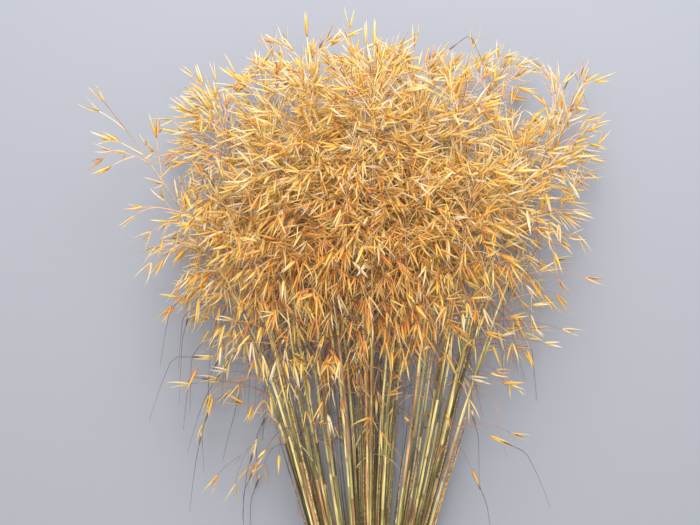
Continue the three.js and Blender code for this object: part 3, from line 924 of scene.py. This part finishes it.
def grow_husks(growth, head, tint, flush_and_shade, seeds):
    """Folded blades: the section grows and shrinks as a sine of a power of the way along and ends in
    a narrow foot, it turns evenly about the blade's axis, and the axis bows as a sine."""
    way = husk_ways(head)
    sign = np.array([1.0, -1.0])[:, None]
    outward, across = square_to(way, sign * head["apart"][:, None])
    both = (seeds[:, None], np.arange(2))
    s = HUSK_LEVELS
    breadth = np.sin(np.pi * s**HUSK_BELLY) ** HUSK_ROUNDNESS
    breadth = breadth + HUSK_FOOT * (1 - s) ** HUSK_FOOT_FADES + HUSK_TIP
    breadth = breadth * draw(HUSK_BREADTH, *both, 45)[..., None]
    curl = draw(HUSK_CURL, *both, 41)[..., None] * s
    bow = draw(HUSK_BOW, *both, 42)[..., None] * np.sin(np.pi * s)
    length = (head["length"][:, None] * draw(HUSK_SHRUNK, *both, 43))[..., None]
    path = head["end"][:, None, None] + (length * s)[..., None] * way[:, :, None]
    path = path + (length * bow)[..., None] * outward[:, :, None]
    turned_out = turned((outward[:, :, None], across[:, :, None]), curl)
    turned_across = turned((across[:, :, None], -outward[:, :, None]), curl)
    out = breadth[..., None] * SECTION_OUT
    wide = breadth[..., None] * SECTION_ACROSS * HUSK_HALF_WIDTH
    points = path[..., None, :] + out[..., None] * turned_out[..., None, :]
    points = points + wide[..., None] * turned_across[..., None, :]
    points = points.reshape(-1, len(s), len(SECTION_OUT), 3)
    places = np.stack(np.broadcast_arrays(SECTION_ACROSS, s[:, None], 0.0), axis=-1)
    shift = HUSK_PATTERN_APART * chance(*both, 44).ravel()
    places = places + np.stack([0 * shift, 0 * shift, shift], axis=-1)[:, None, None]
    pair_tint = tint[:, None] + draw(HUSK_TINT_STRAY, *both, 46)
    pair_flush_and_shade = np.repeat(flush_and_shade, 2)[:, None, None] * (1 - FLUSH_FADES * s[:, None])
    growth.add(points, husk, pair_tint.reshape(-1, 1, 1), places, pair_flush_and_shade)


floret, tree, shader, tint, mark, place = finish_of("floret", roughness=0.6, specular=0.2)
onward = node(tree, "ShaderNodeSeparateXYZ", {0: place}).outputs[1]
skin = ramp(tree, tint, (0.0, (58, 38, 34)), (1.0, (168, 102, 44)))
skin = blend(tree, spread(tree, onward, 0.35, 0.0), skin, colour(206, 180, 130))
tree.links.new(skin, shader.inputs["Base Color"])

FLORET_LEVELS = np.array([0, 0.16, 0.6, 1])
FLORET_SIDES = 4
FLORET_BELLY = 0.7
FLORET_TIP = 0.12
FLORETS_LEFT = 0.6
# The length, the way out from the V and the thickness of a floret, first a plain and then a ripe one.
FLORET_LENGTH = (0.52, 0.7)
FLORET_OUT = (0, 0.42)
FLORET_RADIUS = (0.75, 1.45)
RIPE_FLORET_TINT = 0.12
AWNS_LEFT = (0.42, 0.02)
AWNS_AT = (430, 680)
AWN_LENGTH = (48, 96)
AWN_RADIUS = (0.5, 0.2)
AWN_KNEE = 0.2
AWN_STIFFNESS = 0.5
AWN_BEND = 0.35
AWN_BACK = (0.8, 2.2)
AWN_SAG = 0.35
AWN_GAP = 0.6
AWN_RINGS = 8
AWN_TINT = 0.25


def grow_florets(growth, head, tint, seeds):
    """Spindles between the husks, as thick as a sine of a power of the way along. Some, most of them
    low in the bundle, are ripe: longer, thicker, further out, and with an awn, which is straight to
    its knee and from there hangs in a parabola."""
    filled = chance(seeds, 51) < FLORETS_LEFT
    end, heading, apart = (head[name][filled] for name in ("end", "heading", "apart"))
    up_it = smooth(share_of(AWNS_AT, end[:, 1]))
    bearing = chance(seeds[filled], 52) < mix(*AWNS_LEFT, up_it)
    length, out, thick = (
        np.where(bearing, ripe, plain) for plain, ripe in (FLORET_LENGTH, FLORET_OUT, FLORET_RADIUS)
    )
    length, out = length * head["length"][filled], out * head["length"][filled]
    way = laid_along(end, heading, out + length)
    frames = square_to(way, apart)
    s = FLORET_LEVELS
    path = end[:, None] + (out[:, None] + length[:, None] * s)[..., None] * way[:, None]
    radius = thick[:, None] * np.sin(np.pi * s**FLORET_BELLY) + FLORET_TIP
    points = tube_points(path, radius, [f[:, None] for f in frames], FLORET_SIDES)
    places = np.stack(np.broadcast_arrays(0.0, s[:, None], 0.0), axis=-1)
    growth.add(points, floret, np.where(bearing, RIPE_FLORET_TINT, tint[filled])[:, None, None], places)

    start, stiff = path[bearing, -1], way[bearing]
    own = seeds[filled][bearing]
    whole = draw(AWN_LENGTH, own, 53)[:, None, None]
    bent = turned(square_to(stiff, apart[bearing]), draw(CIRCLE, own, 54))
    back = draw(AWN_BACK, own, 55)[:, None] * ALONG
    beyond = unit(AWN_STIFFNESS * stiff + AWN_BEND * bent - back)
    t = np.linspace(0, 1, AWN_RINGS)[:, None]
    past = np.maximum(t - AWN_KNEE, 0)
    reach = np.minimum(t, AWN_KNEE) * stiff[:, None] + past * beyond[:, None] - AWN_SAG * past**2 * ALONG
    path = start[:, None] + whole * reach
    lifted = laid_on(path[..., 2]) - laid_on(start[:, 2])[:, None] + start[:, 2][:, None]
    path[..., 2] = np.maximum(mix(lifted, laid_on(path[..., 2]), t[:, 0]), AWN_GAP)
    fits = inside(path)
    path = path[fits]
    frames = square_to(unit(np.gradient(path, axis=1)), UP + 0 * path)
    radius = np.broadcast_to(mix(*AWN_RADIUS, t[:, 0]), path.shape[:2])
    points = tube_points(path, radius, frames, WIRE_SIDES)
    growth.add(points, floret, AWN_TINT * t * chance(own[fits], 56)[:, None, None], ALONG)


# Each stem is one piece, from its cut end to its awns. The spikelets are painted darker and more
# orange-brown low in the middle of the bundle, as painted shade deep in the cloud, and paler round
# it, as painted light; some are bleached wherever they hang.
SHADED_MIDDLE = np.array([-10.0, 620.0])
SHADE_REACH = np.array([270.0, 210.0])
SHADED_TINT = 0.38
PALER_ROUND = 0.27
TINT_STRAY = (-0.26, 0.22)
BLEACHED_BY = 0.28
NOT_BLEACHED = 0.72
FLUSHED_FROM = 0.25
LESS_SHADE_FLUSH_ROUND = 0.4
FLUSH_STEP = 0.4
FLUSHED_UNDER = 0.85
FLUSH_TINT_STEP = 0.3
WIRE_TINT = 0.9
WIRE_TINT_STRAY = (-0.2, 0.3)

for who in stems:
    name = "grass_stem_%02d" % (who + 1)
    growth = Growth(name + "_dried")
    ends = grow_straw(growth, who)
    grow_blades(growth, who, ends)
    grow_leaves_and_shade(growth, who)
    main, fine = owner == who, fine_owner == who
    for stalks, sides, rings, radii, up in (
        (stalk[main], side[main], BRANCH_RINGS, WIRE_RADIUS, up_it[main]),
        (fine_stalk[fine], fine_side[fine], STALK_RINGS, STALK_RADIUS, fine_up[fine]),
    ):
        tints = WIRE_TINT * up + draw(WIRE_TINT_STRAY, 61, who, np.arange(len(stalks)))
        grow_stalks(growth, stalks, sides, rings, radii, tints)
    main, fine = main & full, fine & fine_full
    all_heads = joined(only(top_head, slice(who, who + 1)), only(heads, main), only(fine_head, fine))
    seeds = 1000 * (who + 1) + np.arange(len(all_heads["end"]))
    # The tint is lowest at the shaded middle and rises with the way out of it: painted shade within the
    # cloud, painted light round it.
    away = smooth(np.linalg.norm((all_heads["end"][:, :2] - SHADED_MIDDLE) / SHADE_REACH, axis=1))
    bleached = BLEACHED_BY * (chance(seeds, 73) > NOT_BLEACHED)
    tint = SHADED_TINT + PALER_ROUND * away + draw(TINT_STRAY, seeds, 71) + bleached
    # The flush is drawn at random, and far more often low in the middle as painted shade.
    flush_and_shade = smooth((chance(seeds, 47) - FLUSHED_FROM - LESS_SHADE_FLUSH_ROUND * away) / FLUSH_STEP)
    flush_and_shade = flush_and_shade * smooth((FLUSHED_UNDER - tint) / FLUSH_TINT_STEP)
    grow_husks(growth, all_heads, tint, flush_and_shade, seeds)
    grow_florets(growth, all_heads, chance(seeds, 72), seeds)
    stem = growth.make()
    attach(stem, "root")
    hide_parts(name)

# The tie. Five turns of jute twine drawn tight round the straws and knotted on top, with both ends
# left long. The twine is three loose strands twisted together, hairy, and frayed where it was cut.
TURNS = 5
STRANDS = 3
STRAND_RADIUS = 0.82
STRAND_OUT = 0.78
STRAND_SIDES = 6
TWIST_LENGTH = 10.0
TAIL_LENGTH = 44
TURN_RADIUS = (STRAW_RADIUS_AT_TIE + BUTT_RADIUS + CLEAR) + TWINE_RADIUS
TURN_RINGS = 560
KNOT_RINGS = 110
CROSSING = (0.86, 0.14)
TUCKED = 1.6
TUCKED_OVER = 0.012
HAIR_RADIUS = 0.1
HAIR_RINGS = 5
HAIR_BEND = (-0.5, 0.5)
HAIR_GAP = 0.2
LOOSE_HAIRS = 260
LOOSE_LENGTH = (1.5, 5)
LOOSE_WILDNESS = 0.9
LOOSE_ABOVE = 4
ENDS_BARE = 10
FRAYED_HAIRS = 60
FRAYED_DEPTH = 2
FRAYED_LENGTH = (4, 11)
FRAYED_WIDTH = 1.6
FRAYED_STRAY = (-0.45, 0.45)
STRAND_PATTERN_APART = 40.0

jute, tree, shader, tint, mark, place = finish_of("jute", roughness=0.85)
hairs = noise(tree, stretched(tree, place, 0.5, 3.0), 2.2, 3.0)
skin = ramp(
    tree,
    varied(tree, hairs, tint, 0.3),
    (0.2, (96, 70, 42)),
    (0.45, (156, 120, 76)),
    (0.6, (190, 154, 104)),
    (0.85, (222, 196, 148)),
)
tree.links.new(skin, shader.inputs["Base Color"])
relief = node(tree, "ShaderNodeBump", {"Strength": 0.5, "Distance": 0.0004, "Height": hairs})
tree.links.new(relief.outputs[0], shader.inputs["Normal"])


def grow_twine(growth, path, outward):
    """Three strands round a path: each strand's middle turns round the path once in a twist's
    length, and each is a round tube, pressed flat where it would sink below the surface."""
    forward = unit(np.gradient(path, axis=0))
    steps = np.linalg.norm(np.diff(path, axis=0), axis=1)
    along = np.concatenate([[0.0], np.cumsum(steps)])
    turn = 2 * np.pi * (along / TWIST_LENGTH + np.arange(STRANDS)[:, None] / STRANDS)
    pair = square_to(forward, outward)
    strand = path + STRAND_OUT * turned(pair, turn)
    frames = square_to(unit(np.gradient(strand, axis=1)), outward + 0 * strand)
    points = tube_points(strand, np.full(strand.shape[:2], STRAND_RADIUS), frames, STRAND_SIDES)
    points[..., 2] = np.maximum(points[..., 2], 0)
    round_it = 2 * np.pi * np.arange(STRAND_SIDES) / STRAND_SIDES
    places = np.stack(np.broadcast_arrays(np.cos(round_it), np.sin(round_it), along[:, None]), axis=-1)
    apart = STRAND_PATTERN_APART * np.arange(STRANDS)[:, None, None, None]
    growth.add(points, jute, 0.5, places + apart * UP)


def grow_hairs(growth, foot, way, length, seeds):
    """Loose fibres: thin three-sided wires that bend as parabolas."""
    t = np.linspace(0, 1, HAIR_RINGS)[:, None]
    sideways = unit(np.cross(way, ALONG) + 0.3 * UP)
    bent = draw(HAIR_BEND, seeds, 81)[:, None, None] * t**2 * sideways[:, None]
    path = foot[:, None] + length[:, None, None] * (t * way[:, None] + bent)
    path[..., 2] = np.maximum(path[..., 2], HAIR_GAP)
    frames = square_to(unit(np.gradient(path, axis=1)), sideways[:, None] + 0 * path)
    points = tube_points(path, np.full(path.shape[:2], HAIR_RADIUS), frames, WIRE_SIDES)
    growth.add(points, jute, chance(seeds, 82)[:, None, None], path[:, :, None])


def smooth_through(points, rings):
    """A Catmull-Rom curve: a cubic through the points whose slope at each is half the step from the
    point before to the point after."""
    points = np.array(points, dtype=float)
    around = np.array([2 * points[0] - points[1], *points, 2 * points[-1] - points[-2]])
    along = np.linspace(0, len(points) - 1 - 1e-9, rings)
    k, t = np.floor(along).astype(int), (along % 1)[:, None]
    a, b, c, d = (around[k + n] for n in range(4))
    square, cube = 2 * a - 5 * b + 4 * c - d, 3 * b - a - 3 * c + d
    return 0.5 * (2 * b + (c - a) * t + square * t**2 + cube * t**3)


# The winding. Each turn lies square in its own lane and crosses to the next in its last stretch.
growth = Growth("twine_tie_twisted")
share = np.linspace(0, 1, TURN_RINGS)
turns_made = np.minimum(share * TURNS, TURNS - 1e-9)
crossed = smooth((turns_made % 1 - CROSSING[0]) / CROSSING[1])
lane = np.floor(turns_made) + np.where(turns_made < TURNS - 1, crossed, 0)
turn_angle = np.pi + 2 * np.pi * turns_made
tucked = TUCKED * np.clip(1 - np.minimum(share, 1 - share) / TUCKED_OVER, 0, 1)
outward = np.stack([np.sin(turn_angle), 0 * share, -np.cos(turn_angle)], axis=-1)
lane_y = 2 * TWINE_RADIUS * (lane - (TURNS - 1) / 2)
middle = np.stack([0 * share, lane_y, TIE_HEIGHT + 0 * share], axis=-1)
winding = middle + (TURN_RADIUS - tucked)[:, None] * outward
grow_twine(growth, winding, outward)

# The knot. Each end comes up on one side, crosses over the other and runs off towards the cut ends.
top = TIE_HEIGHT + TIE_OUTER
for sign in (1, -1):
    end = [
        (-7 * sign, 4 * sign, -2.5),
        (-4 * sign, 2.5 * sign, -0.3),
        (0, 0.8 * sign, 2.6),
        (4.2 * sign, -1 * sign, 1.4),
        (4.4 * sign, -5, 0.6),
        (5 * sign, -14, 2.2),
        ((7 + 2 * sign) * sign, -0.6 * TAIL_LENGTH, 2.6),
        ((10 + 3 * sign) * sign, -TAIL_LENGTH, 1.6 - 0.8 * sign),
    ]
    tail = smooth_through(end, KNOT_RINGS) + top * UP
    grow_twine(growth, tail, UP + 0 * tail)
    seeds = np.arange(FRAYED_HAIRS) + 100 * (sign + 2)
    scatter = np.stack([chance(seeds, k) for k in (83, 84, 85)], axis=-1) - 0.5
    cut = tail[-1] + STRAND_RADIUS * FRAYED_WIDTH * scatter
    wild = np.stack([draw(FRAYED_STRAY, seeds, k) for k in (86, 87, 88)], axis=-1)
    way = unit(unit(tail[-1] - tail[-4]) + wild)
    grow_hairs(growth, cut - FRAYED_DEPTH * way, way, draw(FRAYED_LENGTH, seeds, 89), seeds)

seeds = np.arange(LOOSE_HAIRS) + 900
foot_at = (chance(seeds, 91) * (TURN_RINGS - 2 * ENDS_BARE)).astype(int) + ENDS_BARE
loose = np.stack([draw((-1, 1), seeds, k) for k in (92, 93, 94)], axis=-1)
way = unit(outward[foot_at] + LOOSE_WILDNESS * loose)
is_up = winding[foot_at][:, 2] > LOOSE_ABOVE
foot, length = (winding + outward)[foot_at], draw(LOOSE_LENGTH, seeds, 95)
grow_hairs(growth, foot[is_up], way[is_up], length[is_up], seeds[is_up])
tie = growth.make()
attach(tie, "root")
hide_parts("twine_tie")

# The studio. A wide pale grey floor carries the bundle, a large lamp, a soft sun and a pale sky light
# it, low views see a plain grey wall behind the floor, and the camera looks straight down.
FLOOR_SIZE = 160.0
SKY_STRENGTH = 1.8
bpy.ops.mesh.primitive_plane_add(size=FLOOR_SIZE, location=(0, 0.5, 0))
floor = bpy.context.object
floor.name = "floor"
floor_finish = bpy.data.materials.new("floor")
floor_finish.use_nodes = True
floor_shader = floor_finish.node_tree.nodes["Principled BSDF"]
floor_shader.inputs["Base Color"].default_value = colour(106, 109, 118)
floor_shader.inputs["Roughness"].default_value = 0.9
floor.data.materials.append(floor_finish)

world = bpy.data.worlds.new("studio")
bpy.context.scene.world = world
world.use_nodes = True
sky = world.node_tree
lit = sky.nodes["Background"]
lit.inputs["Color"].default_value = colour(246, 240, 230)
lit.inputs["Strength"].default_value = SKY_STRENGTH
wall = node(sky, "ShaderNodeBackground", {"Color": colour(176, 177, 182)})
looked_at = node(sky, "ShaderNodeLightPath", {}).outputs["Is Camera Ray"]
behind = node(sky, "ShaderNodeMixShader", {0: looked_at, 1: lit.outputs[0], 2: wall.outputs[0]})
sky.links.new(behind.outputs[0], sky.nodes["World Output"].inputs["Surface"])


def lamp(name, kind, place, aim, power, **softness):
    """A lamp of a kind that faces a point, as soft as its size or its angle makes it."""
    light = bpy.data.lights.new(name, kind)
    light.energy = power
    for setting, value in softness.items():
        setattr(light, setting, value)
    made = bpy.data.objects.new(name, light)
    bpy.context.scene.collection.objects.link(made)
    made.location = place
    made.rotation_euler = (Vector(aim) - Vector(place)).to_track_quat("-Z", "Y").to_euler()


lamp("key", "AREA", place=(0.05, 1.72, 1.35), aim=(0, 0.78, 0.1), power=86, size=1.0)
lamp("fill", "SUN", place=(-0.3, 1.0, 3.0), aim=(0, 0.7, 0.1), power=3.5, angle=0.4)

PICTURE_WIDTH = 700
PIXEL = 1.3 * MM
MIDDLE = (-26 * MM, 639 * MM)
CLOUD_HEIGHT = 130 * MM
LENS = 85
SENSOR = 36
camera = bpy.data.objects.new("camera", bpy.data.cameras.new("camera"))
camera.data.lens = LENS
camera.data.sensor_width = SENSOR
camera.location = (*MIDDLE, CLOUD_HEIGHT + PICTURE_WIDTH * PIXEL * LENS / SENSOR)
bpy.context.scene.collection.objects.link(camera)
bpy.context.scene.camera = camera
bpy.context.scene.view_settings.view_transform = "Standard"
bpy.context.scene.view_settings.look = "Low Contrast"
